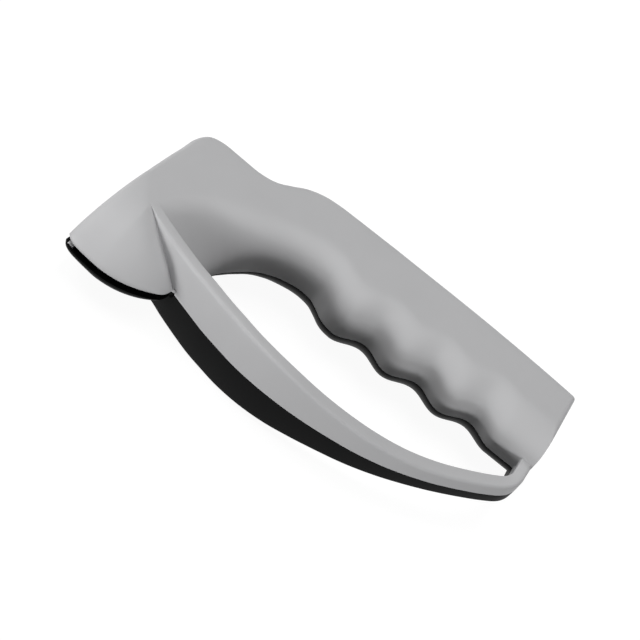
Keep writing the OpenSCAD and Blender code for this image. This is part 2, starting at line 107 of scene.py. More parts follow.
# Rungs from the finger loop to the outer edge, round the head and the arch:
# loop x, loop y, edge x, edge y, reach of the loop rounding in half thicknesses and
# the form of the gray shell there: 0 soft, 1 firm, 2 firm under a flatter dome
rungShares = np.array([
    [0.247, 0.274, 0.038, 0.508, 1.72, 0],
    [0.253, 0.338, 0.044, 0.585, 1.60, 0.2],
    [0.264, 0.389, 0.052, 0.677, 1.50, 0.4],
    [0.277, 0.429, 0.058, 0.752, 1.40, 0.6],
    [0.287, 0.458, 0.074, 0.815, 1.30, 0.75],
    [0.299, 0.489, 0.103, 0.839, 1.20, 0.85],
    [0.312, 0.521, 0.150, 0.839, 1.12, 0.95],
    [0.327, 0.550, 0.198, 0.838, 1.05, 1],
    [0.342, 0.572, 0.236, 0.856, 1.00, 1],
    [0.358, 0.591, 0.267, 0.899, 0.96, 1],
    [0.374, 0.604, 0.296, 0.945, 0.93, 1],
    [0.389, 0.613, 0.331, 0.976, 0.92, 1.05],
    [0.405, 0.620, 0.369, 0.989, 0.92, 1.1],
    [0.422, 0.622, 0.413, 0.993, 0.91, 1.2],
    [0.443, 0.615, 0.453, 0.995, 0.90, 1.3],
    [0.463, 0.591, 0.479, 0.996, 0.90, 1.4],
    [0.482, 0.564, 0.497, 0.997, 0.92, 1.5],
    [0.499, 0.550, 0.510, 0.998, 0.94, 1.6],
    [0.518, 0.545, 0.525, 0.998, 0.96, 1.7]])
flatFootShare = (0.033, 0.440)       # where the cheek begins on the nose edge
tailShares = (0.9995, 0.991)         # tail x at the loop side and at the back

# Outer ridge of the spine and the guard: x, y, rim height in half thicknesses,
# crown and thickness in guard thicknesses
bandShares = np.array([
    [0.083, 0.297, 1, 0.30, 1],
    [0.119, 0.257, 0.99, 0.30, 1],
    [0.155, 0.229, 0.95, 0.30, 1],
    [0.193, 0.205, 0.92, 0.30, 1],
    [0.230, 0.175, 0.945, 0.30, 1],
    [0.272, 0.146, 0.98, 0.30, 1],
    [0.318, 0.116, 1, 0.31, 1],
    [0.361, 0.095, 1, 0.30, 1],
    [0.407, 0.075, 0.985, 0.27, 1.02],
    [0.461, 0.063, 0.945, 0.22, 1.05],
    [0.519, 0.061, 0.87, 0.18, 1.08],
    [0.577, 0.069, 0.76, 0.15, 1.12],
    [0.636, 0.086, 0.655, 0.12, 1.15],
    [0.694, 0.110, 0.565, 0.10, 1.18],
    [0.753, 0.147, 0.475, 0.08, 1.20],
    [0.807, 0.194, 0.405, 0.08, 1.20],
    [0.862, 0.254, 0.36, 0.08, 1.20],
    [0.916, 0.326, 0.34, 0.08, 1.18],
    [0.960, 0.393, 0.335, 0.08, 1.14],
    [0.986, 0.443, 0.34, 0.06, 1.10],
    [0.9983, 0.497, 0.36, 0.05, 1.06],
    [0.9990, 0.552, 0.40, 0.03, 1.05],
    [0.9975, 0.610, 0.45, 0.03, 1.05],
    [0.9955, 0.680, 0.50, 0.03, 1.05]])

# Lip of the slot, from the nose corner to the root of the guard
lipShares = np.array([
    [0, 0.047], [0.009, 0.026], [0.026, 0.012], [0.060, 0.003], [0.096, 0],
    [0.132, 0.012], [0.165, 0.037], [0.194, 0.071], [0.216, 0.108]])

halfT = bodySizes["thickness"] / 2
bodySpan = np.array([bodySizes["length"], bodySizes["height"]])
edgeR = bodySizes["edgeRadius"]
spineEnd = guardSizes["spineEnd"]
toFrame = Vector((-bodySpan[0] / 2, -bodySpan[1] / 2, halfT))


def mix(a, b, s):
    return a + (b - a) * s


def ease(s):
    return s * s * (3 - 2 * s)


def unit(v):
    return v / np.linalg.norm(v)


def lift(v, z):
    return np.array([v[0], v[1], z])


def spline(knots, t):
    i = min(floor(t), len(knots) - 2)
    f = t - i
    a, b, c, d = (knots[max(0, min(len(knots) - 1, i + k))] for k in (-1, 0, 1, 2))
    return (2 * b + (c - a) * f + (2 * a - 5 * b + 4 * c - d) * f * f
            + (3 * b - a - 3 * c + d) * f ** 3) / 2


def riseCurve(s, form=0, fingerPull=gripSizes["fingerPulls"][1]):
    soft = 3 * (1 - s) * s * s * (1 - gripSizes["facePull"]) + s ** 3
    softUp = 3 * (1 - s) ** 2 * s * fingerPull + 3 * (1 - s) * s * s + s ** 3
    firm, flatter = min(1, form), max(0, form - 1)
    dome = (1 - s * s) ** mix(*gripSizes["domePowers"], flatter)
    wall = (1 - s) ** gripSizes["uprightPower"]
    firmUp = 1 - mix(dome, wall, mix(*gripSizes["uprights"], flatter))
    return mix(soft, s * s, firm), mix(softUp, firmUp, firm)


# Rows of the loop rounding, with one at the top of the chamfer along the parting line
seam = riseCurve(bodySizes["seamStep"])[1] * halfT
riseSteps = [0, bodySizes["seamStep"]] + [j / meshRows["rise"] for j in range(1, meshRows["rise"] + 1)]
edgeAngles = [pi / 2 * f / meshRows["edge"] for f in range(1, meshRows["edge"] + 1)]


def seamInset(z):
    return max(0, seam - z)


# Spine, guard and link: one band along the ridge line. Each row of its profile
# holds shares of width, rim and seam across, and of height, rim and seam up.

def bandRidge(t):
    return spline(bandShares, t)[:2] * bodySpan


def bandInward(t):
    along = unit(bandRidge(t + guardSizes["turn"]) - bandRidge(t - guardSizes["turn"]))
    return np.array([-along[1], along[0]])


def bandSizesAt(t):
    row = spline(bandShares, t)
    opened = ease(min(1, t / spineEnd / guardSizes["spineOpenShare"]))
    wide = guardSizes["thickness"] * row[4] * mix(guardSizes["tipWideShare"], 1, opened)
    rim = guardSizes["rimRadius"] * opened
    return wide, halfT * min(1, row[2]), guardSizes["thickness"] * row[3], rim


def bandProfile(cornerSteps=6, innerRim=0.5):
    turns = [pi / 2 * i / cornerSteps for i in range(cornerSteps + 1)]
    rows = [((1, 0, -1), (0, 0, 0), 0), ((1, 0, 0), (0, 0, 1), 0)]
    rows += [((1, -innerRim * (1 - cos(a)), 0), (1, -innerRim * (1 - sin(a)), 0), 0) for a in turns]
    rows += [((0, 1 - cos(a), 0), (1, sin(a) - 1, 0), 1) for a in reversed(turns)]
    downs = [1 - i / meshRows["crown"] for i in range(1, meshRows["crown"])]
    rows += [((0, 0, 0), (down, -down, 0), 1) for down in downs]
    return rows + [((0, 0, 0), (0, 0, 1), 1), ((0, 0, 1), (0, 0, 0), 1)]


def bandPoint(t, across, z):
    return lift(bandRidge(t) + bandInward(t) * across, z)


def bandSection(t, zIn=0, zOut=0):
    wide, top, crown, rim = bandSizesAt(t)
    points = []
    for across, up, outer in bandProfile():
        z = max(np.dot(up, (top, rim, seam)), zOut if outer else zIn)
        inset = np.dot(across, (wide, rim, seam if z < seam else 0))
        points.append(bandPoint(t, inset - outer * crown * (1 - (z / top) ** 2), z))
    return points


# Rungs: a loop point, an edge point, a reach, the height that caps them and their form

gripX, gripUp = rungShares[-1][0] * bodySpan[0], rungShares[-1][2] * bodySpan[0]
gripY = rungShares[-1][1] * bodySpan[1]
gripLong = gripSizes["grooves"] * gripSizes["pitch"]
tailLow, tailUp = (share * bodySpan[0] for share in tailShares)
crestX = gripSizes["crestShare"] * bodySpan[0]
spineTip = bandRidge(0)
loopFoot = bandPoint(spineEnd, bandSizesAt(spineEnd)[0], 0)[:2]
flatFoot = np.array(flatFootShare) * bodySpan
guardFoot = bandPoint(spineEnd, seam - bandSizesAt(spineEnd)[2], 0)[:2]


def grooveY(along):
    return gripSizes["depth"] / 2 * (1 - cos(2 * pi * along))


def backY(x):
    if x > crestX:
        return bodySpan[1] - gripSizes["backDrop"] * ((x - crestX) / (tailUp - crestX)) ** 2
    return bodySpan[1] * mix(rungShares[-1][3], 1, ease((x - gripUp) / (crestX - gripUp)))


def gripRung(x, turn=0):
    s = (x - gripX) / (tailLow - gripX)
    up = mix(gripUp, tailUp, s)
    fall = edgeR * (1 - cos(turn))
    along = min(x - gripX, gripLong) / gripSizes["pitch"]
    groove = grooveY(along)
    reach = halfT * mix(rungShares[-1][4], gripSizes["tailReachShare"], s)
    reach -= gripSizes["scallopShare"] * groove
    form = mix(rungShares[-1][5], gripSizes["tailForm"], s)
    loop = np.array([x, gripY + gripSizes["rise"] * along + groove])
    return loop, np.array([up, backY(up) - fall]), reach, halfT - fall, form


headKnots = np.array(
    [[*loopFoot, *flatFoot, np.linalg.norm(spineTip - loopFoot), 0]]
    + [[*(row[:4] * np.tile(bodySpan, 2)), row[4] * halfT, row[5]] for row in rungShares])
headLast = len(headKnots) - 1
gripCount = ceil(gripSizes["grooves"] * meshRows["grooveSteps"] * (tailLow - gripX) / gripLong)


def headRung(t):
    knot = spline(headKnots, t)
    return knot[:2], knot[2:4], knot[4], halfT, knot[5]


def handleRung(share):
    return gripRung(mix(gripX, tailLow - edgeR, share))


def edgeRows(long):
    rows = [(long - edgeR * (1 - sin(a)), halfT - edgeR * (1 - cos(a))) for a in edgeAngles]
    return rows + [(long, seam), (long - seam, 0)]


def rungPoints(rung, firm):
    start, end, reach, cap, form = rung
    reach *= 1 + gripSizes["softStretch"] * (1 - firm) * min(1, form)
    along, long = unit(end - start), np.linalg.norm(end - start)
    pull = gripSizes["fingerPulls"][firm]
    curve = [riseCurve(s, firm * form, fingerPull=pull) for s in riseSteps]
    rows = [(across * reach + seamInset(up * halfT), up * halfT) for across, up in curve]
    rows += [(mix(reach, long - edgeR, j / meshRows["face"]), halfT)
             for j in range(1, meshRows["face"] + 1)]
    return [lift(start + along * across, min(z, cap)) for across, z in rows + edgeRows(long)]


def spineRung():
    points = []
    for across, up in (riseCurve(s) for s in riseSteps):
        t = spineEnd * (1 - across)
        points.append(bandPoint(t, bandSizesAt(t)[0] - seamInset(up * halfT), up * halfT))
    along, long = unit(flatFoot - spineTip), np.linalg.norm(flatFoot - spineTip)
    last = meshRows["face"] - 1
    rows = [((long - edgeR) * j / last, halfT) for j in range(meshRows["face"])]
    return points + [lift(spineTip + along * across, z) for across, z in rows + edgeRows(long)]


# Cheek beside the slot: columns from the nose edge and the spine down to the lip

lipKnots = np.array([share * bodySpan for share in lipShares] + [guardFoot])
noseAlong = unit(flatFoot - lipKnots[0])
noseInward = np.array([noseAlong[1], -noseAlong[0]])


def valleyAt(s, peak=27 / 4):                # deepest two thirds of the way down the spine
    return peak * s * s * (1 - s) * headSizes["valleyDepth"]


def scoopZ(s):
    share, late = headSizes["tipDropShare"], s * s / (s + headSizes["tipBlend"])
    drop = share * (1 - (1 - late) ** headSizes["tipDropPower"])
    return halfT * (1 - drop - (1 - share) * s ** headSizes["scoopPower"]) - valleyAt(s)


def cheekColumn(start, lipPlace, high, foot=headSizes["lipHeight"], fall=0, level=None, valley=0):
    end = spline(lipKnots, lipPlace) + (seam * noseInward if level == 0 else 0)
    points = []
    for r in range(meshRows["cheek"] + 1):
        q = 1 - (1 - r / meshRows["cheek"]) ** headSizes["cheekSpread"]
        z = foot + (high - foot) * (1 - q ** headSizes["cheekStart"]) ** headSizes["cheekEnd"]
        z -= fall * min(1, z / edgeR / 2)
        z -= valley * max(0, 1 - q / headSizes["valleyWide"]) ** 2
        points.append(lift(mix(start[:2], end, q), z if level is None else level))
    return points + [lift(end, 0)]


def cheekGrid(spine, sections):
    nose = spine[len(riseSteps):][::-1]
    columns = [cheekColumn(nose[0], 0, halfT, level=0), cheekColumn(nose[1], 0, halfT, level=seam)]
    for a, start in zip(reversed(edgeAngles), nose[2:]):
        columns.append(cheekColumn(start, headSizes["lipEdge"] * (1 - sin(a)), halfT,
                                   fall=edgeR * (1 - cos(a))))
    for j in reversed(range(meshRows["face"])):
        place = mix(headSizes["lipTurn"], headSizes["lipEdge"], j / (meshRows["face"] - 1))
        columns.append(cheekColumn(nose[-1 - j], place, halfT))
    for step, section in zip(reversed(riseSteps[:-1]), sections[1:]):
        s = 1 - riseCurve(step)[0]
        foot = headSizes["lipHeight"] * (1 - s ** headSizes["lipFade"])
        place = mix(headSizes["lipTurn"], len(lipKnots) - 1, s)
        valley = valleyAt(s)
        high = section[-1][2] + valley
        columns.append(cheekColumn(section[-1], place, high, foot, valley=valley))
    return columns


# Meshes in the shells' own frame, moved to the part's frame when they are done

def addMesh(name, points, faces):
    mesh = bpy.data.meshes.new(name)
    mesh.from_pydata([tuple(p) for p in points], [], faces)
    obj = bpy.data.objects.new(name, mesh)
    bpy.context.scene.collection.objects.link(obj)
    return obj


def dropFlaps(shape):                        # loose triangles that a union leaves on a seam
    while True:
        flaps = [face for face in shape.faces if any(edge.is_boundary for edge in face.edges)]
        if not flaps:
            return
        bmesh.ops.delete(shape, geom=flaps, context="FACES")


def cleanMesh(obj, near=2e-6, joined=False):
    shape = bmesh.new()
    shape.from_mesh(obj.data)
    bmesh.ops.remove_doubles(shape, verts=shape.verts, dist=near)
    bmesh.ops.dissolve_degenerate(shape, edges=shape.edges, dist=near / 4)
    if joined:
        dropFlaps(shape)
    bmesh.ops.recalc_face_normals(shape, faces=shape.faces)
    opened = sum(not edge.is_manifold for edge in shape.edges)
    shape.to_mesh(obj.data)
    shape.free()
    print(obj.name, len(obj.data.vertices), "points,", opened, "open edges")
    return obj


def gridFaces(start, grid):
    cols = len(grid[0])
    return [(a, a + 1, a + 1 + cols, a + cols) for i in range(len(grid) - 1)
            for a in range(start + i * cols, start + (i + 1) * cols - 1)]


def capCentre(t):
    wide, top = bandSizesAt(t)[:2]
    return bandPoint(t, wide / 2, top / 2)


def makeCore(firm):
    spine = spineRung()
    steps = meshRows["headSteps"]
    rungs = [headRung(i / steps) for i in range(1, headLast * steps + 1)]
    rungs += [handleRung(i / gripCount) for i in range(1, gripCount + 1)]
    rungs += [gripRung(tailLow - edgeR * (1 - sin(a)), a) for a in edgeAngles]
    body = [spine] + [rungPoints(rung, firm) for rung in rungs]
    for point in (body[-1][0], body[-1][-1]):
        point[0] -= seam
    shares = [riseCurve(step) for step in reversed(riseSteps)]
    sections = [bandSection(spineEnd * (1 - across), up * halfT, scoopZ(1 - across))
                for across, up in shares]
    cheek = cheekGrid(spine, sections)
    points, faces, starts = [], [], []
    for grid in (body, sections, cheek):
        starts.append(len(points))
        faces += gridFaces(len(points), grid)
        points += [p for row in grid for p in row]
    cols, last = len(spine), (len(body) - 1) * len(spine)
    faces += [(i, i + cols, i + 2 * cols - 1, i + cols - 1) for i in range(0, last, cols)]
    faces.append(tuple(range(last + 1, last + cols - 1)))
    faces.append((last, last + 1, last + cols - 2, last + cols - 1))
    ring = [starts[2] - len(sections[0]) + i for i in range(len(sections[0]))]
    faces += [(a, b, len(points)) for a, b in zip(ring, ring[1:] + ring[:1])]
    foot = [starts[2] + r for r in range(1, len(cheek[0]) - 1)]
    foot += [starts[2] + (c + 1) * len(cheek[0]) - 1 for c in range(1, len(cheek))]
    faces.append(tuple([0, cols - 1] + foot))
    return cleanMesh(addMesh("core", points + [capCentre(spineEnd)], faces))


def makeTube(name, rings):
    count = len(rings[0])
    faces = [(i * count + j, i * count + (j + 1) % count, (i + 1) * count + (j + 1) % count,
              (i + 1) * count + j) for i in range(len(rings) - 1) for j in range(count)]
    faces += [tuple(range(count)), tuple(range((len(rings) - 1) * count, len(rings) * count))]
    return cleanMesh(addMesh(name, [p for ring in rings for p in ring], faces))


def hollowRing(rung, firm, over=1 * mm, steps=12):
    start, end, reach, _, form = rung
    reach *= 1 + gripSizes["softStretch"] * (1 - firm) * min(1, form)
    wall = bodySizes["wall"]
    along, long, top = unit(end - start), np.linalg.norm(end - start), halfT - wall
    rows = [(wall, -over)]
    for across, up in (riseCurve(j / steps, firm * form) for j in range(steps + 1)):
        rows.append((wall + across * (reach - wall / 2), mix(wall, top, up)))
    rows += [(long - wall, top), (long - wall, -over)]
    return [lift(start + along * across, z) for across, z in rows]


def makeHollow(firm, fromHead=2.25, headStep=0.25, handleRings=40):
    rungs = [headRung(t) for t in np.arange(fromHead, headLast, headStep)]
    rungs += [handleRung(i / handleRings) for i in range(1, handleRings)]
    rungs.append(gripRung(tailLow - bodySizes["wall"]))
    return makeTube("hollow", [hollowRing(rung, firm) for rung in rungs])


def makePrism(name, outline, low, high):
    return makeTube(name, [[lift(p, z) for p in outline] for z in (low, high)])


def makeSlot(over=1 * mm):
    end = headSizes["slotEndShare"] * bodySpan[0]
    root = np.array(headSizes["slotRootShares"]) * guardFoot
    deep, side = headSizes["slotDepth"], headSizes["slotWidth"] / 2
    outline = [(-over, -over), (-over, deep), (end, deep), tuple(root), (root[0], -over)]
    return makePrism("slot", outline, -side, side)


def cutShell(shell, tools, operation):
    for tool in tools:
        step = shell.modifiers.new(tool.name, "BOOLEAN")
        step.operation, step.solver, step.object = operation, "MANIFOLD", tool
    return bakeShape(shell)


# Geometry Nodes: each tree is built here, run once and left as a plain mesh

def startTree(name, sockets):
    tree = bpy.data.node_groups.new(name, "GeometryNodeTree")
    tree.interface.new_socket("Geometry", in_out="INPUT", socket_type="NodeSocketGeometry")
    for label, kind in sockets:
        tree.interface.new_socket(label, in_out="INPUT", socket_type="NodeSocket" + kind)
    tree.interface.new_socket("Geometry", in_out="OUTPUT", socket_type="NodeSocketGeometry")
    return tree, tree.nodes.new("NodeGroupInput").outputs


def addNode(tree, kind, inputs, **settings):
    node = tree.nodes.new(kind)
    for key, value in settings.items():
        setattr(node, key, value)
    for key, value in inputs.items():
        if isinstance(value, bpy.types.NodeSocket):
            tree.links.new(value, node.inputs[key])
        else:
            node.inputs[key].default_value = value
    return node.outputs


def endTree(tree, shape, material):
    real = addNode(tree, "GeometryNodeRealizeInstances", {"Geometry": shape})
    done = addNode(tree, "GeometryNodeSetMaterial", {"Geometry": real[0], "Material": material})
    addNode(tree, "NodeGroupOutput", {"Geometry": done[0]})
    return tree


def bakeShape(obj):
    obj.update_tag()
    bpy.context.view_layer.update()
    graph = bpy.context.evaluated_depsgraph_get()
    mesh = bpy.data.meshes.new_from_object(obj.evaluated_get(graph), depsgraph=graph)
    obj.modifiers.clear()
    obj.data = mesh
    return obj


def runTree(obj, tree, values):
    step = obj.modifiers.new(tree.name, "NODES")
    step.node_group = tree
    for item in tree.interface.items_tree:
        if item.in_out == "INPUT" and item.name in values:
            step[item.identifier] = values[item.name]
    return bakeShape(obj)


def mathNode(tree, operation, *values):
    return addNode(tree, "ShaderNodeMath", dict(enumerate(values)), operation=operation)[0]


def vectorNode(tree, operation, *values):
    node = addNode(tree, "ShaderNodeVectorMath", dict(enumerate(values)), operation=operation)
    return node["Value" if operation == "DOT_PRODUCT" else "Vector"]


def named(tree, name, kind="FLOAT_VECTOR"):
    return addNode(tree, "GeometryNodeInputNamedAttribute", {"Name": name}, data_type=kind)[0]


def bandTree():
    tree, given = startTree("guard sweep", [("Profile", "Object"), ("Material", "Material")])
    path = addNode(tree, "GeometryNodeMeshToCurve", {"Mesh": given["Geometry"]})
    outline = addNode(tree, "GeometryNodeObjectInfo", {"Object": given["Profile"]})
    section = addNode(tree, "GeometryNodeMeshToCurve", {"Mesh": outline["Geometry"]})
    swept = addNode(tree, "GeometryNodeCurveToMesh", {"Curve": path[0], "Profile Curve": section[0]})
    sizesUp = named(tree, "sizesUp")
    z = vectorNode(tree, "DOT_PRODUCT", named(tree, "up"), sizesUp)
    top = addNode(tree, "ShaderNodeSeparateXYZ", {"Vector": sizesUp})["X"]
    share = mathNode(tree, "POWER", mathNode(tree, "DIVIDE", z, top), 2.0)
    bulge = mathNode(tree, "SUBTRACT", 1.0, share)
    bulge = mathNode(tree, "MULTIPLY", named(tree, "crown", "FLOAT"), bulge)
    bulge = mathNode(tree, "MULTIPLY", bulge, named(tree, "outer", "FLOAT"))
    across = vectorNode(tree, "DOT_PRODUCT", named(tree, "across"), named(tree, "sizesAcross"))
    across = mathNode(tree, "SUBTRACT", across, bulge)
    inward = addNode(tree, "ShaderNodeVectorMath", {0: named(tree, "inward"), "Scale": across},
                     operation="SCALE")
    lifted = addNode(tree, "ShaderNodeCombineXYZ", {"Z": z})
    place = vectorNode(tree, "ADD", named(tree, "ridge"), inward["Vector"])
    place = vectorNode(tree, "ADD", place, lifted[0])
    moved = addNode(tree, "GeometryNodeSetPosition", {"Geometry": swept[0], "Position": place})
    return endTree(tree, moved[0], given["Material"])


def setAttribute(mesh, name, values):
    kind = "FLOAT" if np.ndim(values[0]) == 0 else "FLOAT_VECTOR"
    layer = mesh.attributes.new(name, kind, "POINT")
    layer.data.foreach_set("value" if kind == "FLOAT" else "vector", np.array(values, float).ravel())


def makeLine(name, points, closed=False):
    count = len(points)
    line = addMesh(name, points, [])
    line.data.edges.add(count if closed else count - 1)
    for i, edge in enumerate(line.data.edges):
        edge.vertices = (i, (i + 1) % count)
    return line


def makeGuard(material, weld=1e-6):
    bandLast = len(bandShares) - 1
    count = (bandLast - spineEnd) * meshRows["guardSteps"]
    places = [mix(spineEnd, bandLast, i / count) for i in range(count + 1)]
    guard = makeLine("guard", [bandPoint(t, 0, 0) for t in places])
    sizes = [bandSizesAt(t) for t in places]
    setAttribute(guard.data, "ridge", [bandPoint(t, 0, 0) for t in places])
    setAttribute(guard.data, "inward", [lift(bandInward(t), 0) for t in places])
    setAttribute(guard.data, "sizesAcross", [(wide, rim, seam) for wide, top, crown, rim in sizes])
    setAttribute(guard.data, "sizesUp", [(top, rim, seam) for wide, top, crown, rim in sizes])
    setAttribute(guard.data, "crown", [crown for wide, top, crown, rim in sizes])
    rows = bandProfile()
    profile = makeLine("guardProfile", [(i * mm, 0, 0) for i in range(len(rows))], closed=True)
    for name, values in zip(("across", "up", "outer"), zip(*rows)):
        setAttribute(profile.data, name, values)
    runTree(guard, bandTree(), {"Profile": profile, "Material": material})
    bpy.data.objects.remove(profile)
    shape = bmesh.new()
    shape.from_mesh(guard.data)
    ring = [Vector(p) for p in bandSection(spineEnd)]
    for vert in shape.verts:                 # the root ring meets the head point on point
        near = min(ring, key=lambda p: (p - vert.co).length)
        if (near - vert.co).length < weld:
            vert.co = near
    for t in (spineEnd, bandLast):
        centre = shape.verts.new(capCentre(t))
        edges = [e for e in shape.edges if e.is_boundary
                 and (e.verts[0].co - centre.co).length < halfT]
        for edge in edges:
            shape.faces.new((*edge.verts, centre))
    shape.to_mesh(guard.data)
    shape.free()
    return cleanMesh(guard)


def columnTree(sides=64):
    tree, given = startTree("round columns", [("Radius", "Float"), ("Low", "Float"), ("High", "Float"),
                                              ("Material", "Material")])
    tall = mathNode(tree, "SUBTRACT", given["High"], given["Low"])
    column = addNode(tree, "GeometryNodeMeshCylinder",
                     {"Vertices": sides, "Radius": given["Radius"], "Depth": tall})
    middle = mathNode(tree, "MULTIPLY", mathNode(tree, "ADD", given["High"], given["Low"]), 0.5)
    offset = addNode(tree, "ShaderNodeCombineXYZ", {"Z": middle})
    raised = addNode(tree, "GeometryNodeTransform", {"Geometry": column[0], "Translation": offset[0]})
    placed = addNode(tree, "GeometryNodeInstanceOnPoints",
                     {"Points": given["Geometry"], "Instance": raised[0]})
    return endTree(tree, placed[0], given["Material"])


# Finishes

def newFinish(name):
    material = bpy.data.materials.new(name)
    material.use_nodes = True
    tree = material.node_tree
    place = addNode(tree, "ShaderNodeTexCoord", {})["Object"]
    return material, tree, tree.nodes["Principled BSDF"], place


def noiseNode(tree, place, scale, detail=2.0):
    return addNode(tree, "ShaderNodeTexNoise",
                   {"Vector": place, "Scale": scale, "Detail": detail})["Fac"]


def rangeNode(tree, value, low, high, noise=(0.3, 0.7)):   # nearly all of a noise lies between these
    return addNode(tree, "ShaderNodeMapRange", {"Value": value, "From Min": noise[0],
                                                "From Max": noise[1], "To Min": low, "To Max": high})[0]


def blendColours(tree, share, first, second):
    return addNode(tree, "ShaderNodeMix", {"Factor": share, "A": first, "B": second},
                   data_type="RGBA")["Result"]


def colourPair(finish):
    return (*finish["colour"], 1), (*(c * finish["shade"] for c in finish["colour"]), 1)


def addBump(tree, shader, height, distance, strength):
    bump = addNode(tree, "ShaderNodeBump",
                   {"Height": height, "Distance": distance, "Strength": strength})
    tree.links.new(bump[0], shader.inputs["Normal"])


plastics = {
    "grayPlastic": {"colour": (0.425, 0.425, 0.432), "shade": 0.965, "rough": (0.44, 0.52),
                    "specular": 0.3, "grain": 0.012 * mm},
    "blackPlastic": {"colour": (0.0034, 0.0035, 0.0036), "shade": 0.85, "rough": (0.42, 0.52),
                     "specular": 0.04, "grain": 0.014 * mm},
    "blockPlastic": {"colour": (0.022, 0.022, 0.024), "shade": 0.85, "rough": (0.4, 0.5),
                     "specular": 0.35, "grain": 0.01 * mm},
}


def mouldedPlastic(name, grainScale=5200, cloudScale=55, bump=0.6):
    finish = plastics[name]
    material, tree, shader, place = newFinish(name)
    cloud = rangeNode(tree, noiseNode(tree, place, cloudScale, 3.0), 0.0, 1.0)
    tree.links.new(blendColours(tree, cloud, *colourPair(finish)), shader.inputs["Base Color"])
    grain = noiseNode(tree, place, grainScale)
    tree.links.new(rangeNode(tree, grain, *finish["rough"]), shader.inputs["Roughness"])
    addBump(tree, shader, grain, finish["grain"], bump)
    shader.inputs["Specular IOR Level"].default_value = finish["specular"]
    return material


metals = {
    "plateSteel": {"colour": (0.60, 0.60, 0.61), "shade": 0.86, "rough": (0.28, 0.42),
                   "stretch": (1, 1, 14)},
    "screwSteel": {"colour": (0.48, 0.48, 0.50), "shade": 0.8, "rough": (0.25, 0.4),
                   "stretch": (1, 1, 1)},
    "carbide": {"colour": (0.55, 0.55, 0.56), "shade": 0.88, "rough": (0.3, 0.42),
                "stretch": (1, 6, 1)},
}


def metalFinish(name, streakScale=900, streakDepth=0.004 * mm, bump=0.5):
    finish = metals[name]
    material, tree, shader, place = newFinish(name)
    turned = addNode(tree, "ShaderNodeMapping", {"Vector": place, "Scale": finish["stretch"]})[0]
    streak = noiseNode(tree, turned, streakScale, 4.0)
    tree.links.new(blendColours(tree, streak, *colourPair(finish)), shader.inputs["Base Color"])
    tree.links.new(rangeNode(tree, streak, *finish["rough"]), shader.inputs["Roughness"])
    addBump(tree, shader, streak, streakDepth, bump)
    shader.inputs["Metallic"].default_value = 1
    return material


grayPlastic, blackPlastic, blockPlastic = (mouldedPlastic(name) for name in plastics)
plateSteel, screwSteel, carbide = (metalFinish(name) for name in metals)
print("finishes made")


# The two half shells

screwNodes = ["shell_screw_nose", "shell_screw_head", "shell_screw_grip_front",
              "shell_screw_grip_rear", "shell_screw_tail"]
blockNodes = ["cutter_block", "keeper_plate", "keeper_screw_near", "keeper_screw_far"]
screwBoxes = [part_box(node) for node in screwNodes]
screwHead = screwBoxes[0][1].x - screwBoxes[0][0].x
screwLow, screwHigh = screwBoxes[0][0].z, screwBoxes[0][1].z
screwPlaces = [(low + high) / 2 for low, high in screwBoxes]
shellSizes = {
    "screwShank": 2.6 * mm,
    "headHeight": 1.8 * mm,
    "bossWall": 1.9 * mm,
    "bossEndShare": 0.75,    # of the wall that a boss leaves free
    "fitGap": 0.15 * mm,
    "tipRoom": 1 * mm,
}


def inSource(point):
    return Vector(point) - toFrame


def screwColumns(name, radius, low, high):
    columns = addMesh(name, [(p.x, p.y, 0) for p in map(inSource, screwPlaces)], [])
    return runTree(columns, columnsTree, {"Radius": radius, "Low": low, "High": high,
                                          "Material": grayPlastic})


def cutterRoom(node, near=0.01 * mm, flat=radians(1)):
    room = addMesh(node + "Room", [], [])
    room.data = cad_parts[node].data.copy()
    cleanMesh(room, near)
    shape = bmesh.new()
    shape.from_mesh(room.data)
    bmesh.ops.dissolve_limit(shape, angle_limit=flat, verts=shape.verts, edges=shape.edges)
    shape.normal_update()
    for vert in shape.verts:
        vert.co += sum((face.normal for face in vert.link_faces), Vector()) * shellSizes["fitGap"]
    shape.transform(Matrix.Translation(-toFrame))
    shape.to_mesh(room.data)
    shape.free()
    return room


def blockRoom():
    held = [inSource(vert.co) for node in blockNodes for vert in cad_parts[node].data.vertices]
    inward = [p.xy.dot(Vector(noseInward)) for p in held]
    along = [p.xy.dot(Vector(noseAlong)) for p in held]
    gap = shellSizes["fitGap"]
    corners = [(min(inward), min(along) - gap), (max(inward) + gap, min(along) - gap),
               (max(inward) + gap, max(along) + gap), (min(inward), max(along) + gap)]
    side = max(p.z for p in held) + gap
    return makePrism("blockRoom", [noseInward * x + noseAlong * y for x, y in corners], -side, side)


def finishShell(shell, node, finish):
    shell.data.transform(Matrix.Translation(toFrame))
    cleanMesh(shell, joined=True)
    shell.data.materials.clear()
    shell.data.materials.append(finish)
    shell.data.shade_smooth()
    shell.data.set_sharp_from_angle(angle=radians(bodySizes["sharpAngle"]))
    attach(shell, "root")
    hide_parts(node)


columnsTree = columnTree()
overrun = 1 * mm
bossRadius = shellSizes["screwShank"] / 2 + shellSizes["bossWall"]
gap = shellSizes["fitGap"]
bosses = screwColumns("bosses", bossRadius, 0, halfT - shellSizes["bossEndShare"] * bodySizes["wall"])
pilots = screwColumns("pilots", (shellSizes["screwShank"] + gap) / 2, -overrun,
                      screwHigh - halfT + shellSizes["tipRoom"])
bores = screwColumns("bores", shellSizes["screwShank"] / 2 + gap, -halfT - overrun, overrun)
pockets = screwColumns("pockets", screwHead / 2 + gap, -halfT - overrun,
                       screwLow + shellSizes["headHeight"] - halfT)
rooms = [cutterRoom("front_cutter"), cutterRoom("rear_cutter")]
slot, block = makeSlot(), blockRoom()
guard = makeGuard(grayPlastic)


